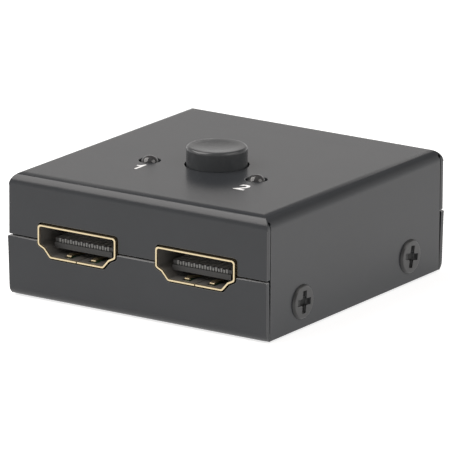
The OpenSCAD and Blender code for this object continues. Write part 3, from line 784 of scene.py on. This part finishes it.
class SWITCHBOX_OT_stage(PieceOperator, bpy.types.Operator):
    """Sets the floor, the lights and the camera"""

    bl_idname = "switchbox.stage"
    bl_label = "Stage"

    floor_half = 4.0
    light_away = 1.3
    floor_drop = 0.05 * MM
    sky_heights = (0.27, 0.5, 0.84, 0.97)
    softboxes = {
        "overhead": ((-0.535, -0.3, 0.79), (1.0, 1.3)),
        "side": ((0.7, 0.15, 0.7), (0.7, 1.0)),
    }

    def execute(self, context):
        look = looks(context, "stage")
        scene = context.scene
        scene.view_settings.view_transform = "Standard"
        self.lay_floor(scene, look)
        self.set_world(scene, look)
        for name, (toward, size) in self.softboxes.items():
            lamp = self.hang_softbox(scene, name + "_softbox", Vector(toward).normalized(), size)
            lamp.energy = getattr(look, name) * math.pi * lamp.size * lamp.size_y
            lamp.color = look.warm
        self.set_camera(scene, look)
        return {"FINISHED"}

    def seen(self, finish):
        """1 for rays that look straight, or by mirror or glass, and 0 for light that falls on things."""
        return sum(finish.node("ShaderNodeLightPath", out=name)
                   for name in ("Is Camera Ray", "Is Glossy Ray", "Is Transmission Ray"))

    def lay_floor(self, scene, look):
        shape = bmesh.new()
        bmesh.ops.create_grid(shape, x_segments=4, y_segments=4, size=self.floor_half)
        bmesh.ops.translate(shape, verts=shape.verts, vec=(0, 0, -self.floor_drop))
        mesh = bpy.data.meshes.new("floor")
        shape.to_mesh(mesh)
        shape.free()
        finish = new_finish("floor_white")
        fill = finish.mix(self.seen(finish), (0, 0, 0), (look.floor_fill,) * 3)
        mesh.materials.append(finish.surface({"Base Color": rgba(look.floor), "Roughness": 0.9,
                                              "Specular IOR Level": 0.0, "Emission Color": fill,
                                              "Emission Strength": 1.0}))
        floor = bpy.data.objects.new("floor", mesh)
        scene.collection.objects.link(floor)

    def set_world(self, scene, look):
        """Pale surroundings at the horizon, a dark band over them and a mid grey overhead."""
        scene.world = bpy.data.worlds.new("studio")
        finish = Finish(scene.world)
        toward = finish.node("ShaderNodeTexCoord", out="Generated")
        height = finish.node("ShaderNodeSeparateXYZ", None, {"Vector": toward}, out="Z")
        greys = (look.low, look.gap, look.gap, look.zenith)
        stops = [(0.0, (look.horizon,) * 3)]
        stops += [(place, shade(look.warm, grey)) for place, grey in zip(self.sky_heights, greys)]
        tone = finish.node("ShaderNodeValToRGB", {"stops": stops}, {"Fac": height})
        light = finish.node("ShaderNodeBackground", None, {"Color": tone, "Strength": 1.0})
        finish.node("ShaderNodeOutputWorld", None, {"Surface": light})

    def hang_softbox(self, scene, name, toward, size):
        """A flat lamp that faces the object, long from front to back."""
        lamp = bpy.data.lights.new(name, "AREA")
        lamp.shape = "RECTANGLE"
        lamp.size, lamp.size_y = size
        light = bpy.data.objects.new(name, lamp)
        across = Vector((0, 1, 0)).cross(toward).normalized()
        turn = Matrix((across, toward.cross(across), toward)).transposed().to_4x4()
        light.matrix_world = Matrix.Translation(toward * self.light_away) @ turn
        scene.collection.objects.link(light)
        return lamp

    def set_camera(self, scene, look):
        data = bpy.data.cameras.new("camera")
        data.sensor_width = 36
        data.lens = look.lens
        data.clip_start = 0.05
        data.clip_end = 30
        camera = bpy.data.objects.new("camera", data)
        tilt = Matrix.Rotation(math.pi / 2 - look.elevation, 4, "X")
        turn = Matrix.Rotation(look.azimuth, 4, "Z") @ tilt
        back = turn @ Vector((0, 0, look.distance))
        roll = Matrix.Rotation(look.roll, 4, "Z")
        camera.matrix_world = Matrix.Translation(Vector(look.aim) + back) @ turn @ roll
        scene.collection.objects.link(camera)
        scene.camera = camera


OPERATORS = (
    SWITCHBOX_OT_case,
    SWITCHBOX_OT_screws,
    SWITCHBOX_OT_sockets,
    SWITCHBOX_OT_button,
    SWITCHBOX_OT_lamps,
    SWITCHBOX_OT_numerals,
    SWITCHBOX_OT_inside,
    SWITCHBOX_OT_stage,
)


class SWITCHBOX_PT_dressing(bpy.types.Panel):
    """Lists the operators that dress the switch box"""

    bl_idname = "SWITCHBOX_PT_dressing"
    bl_label = "Switch box"
    bl_space_type = "VIEW_3D"
    bl_region_type = "UI"
    bl_category = "Switch box"

    def draw(self, context):
        for operator in OPERATORS:
            self.layout.operator(operator.bl_idname)


CLASSES = (*LOOKS.values(), *OPERATORS, SWITCHBOX_PT_dressing)


def register():
    for cls in CLASSES:
        bpy.utils.register_class(cls)
    for name, group in LOOKS.items():
        setattr(bpy.types.Scene, name, PointerProperty(type=group))


def unregister():
    for name in LOOKS:
        delattr(bpy.types.Scene, name)
    for cls in reversed(CLASSES):
        bpy.utils.unregister_class(cls)


def main():
    register()
    for operator in OPERATORS:
        group, name = operator.bl_idname.split(".")
        getattr(getattr(bpy.ops, group), name)()


if __name__ == "__main__":
    main()
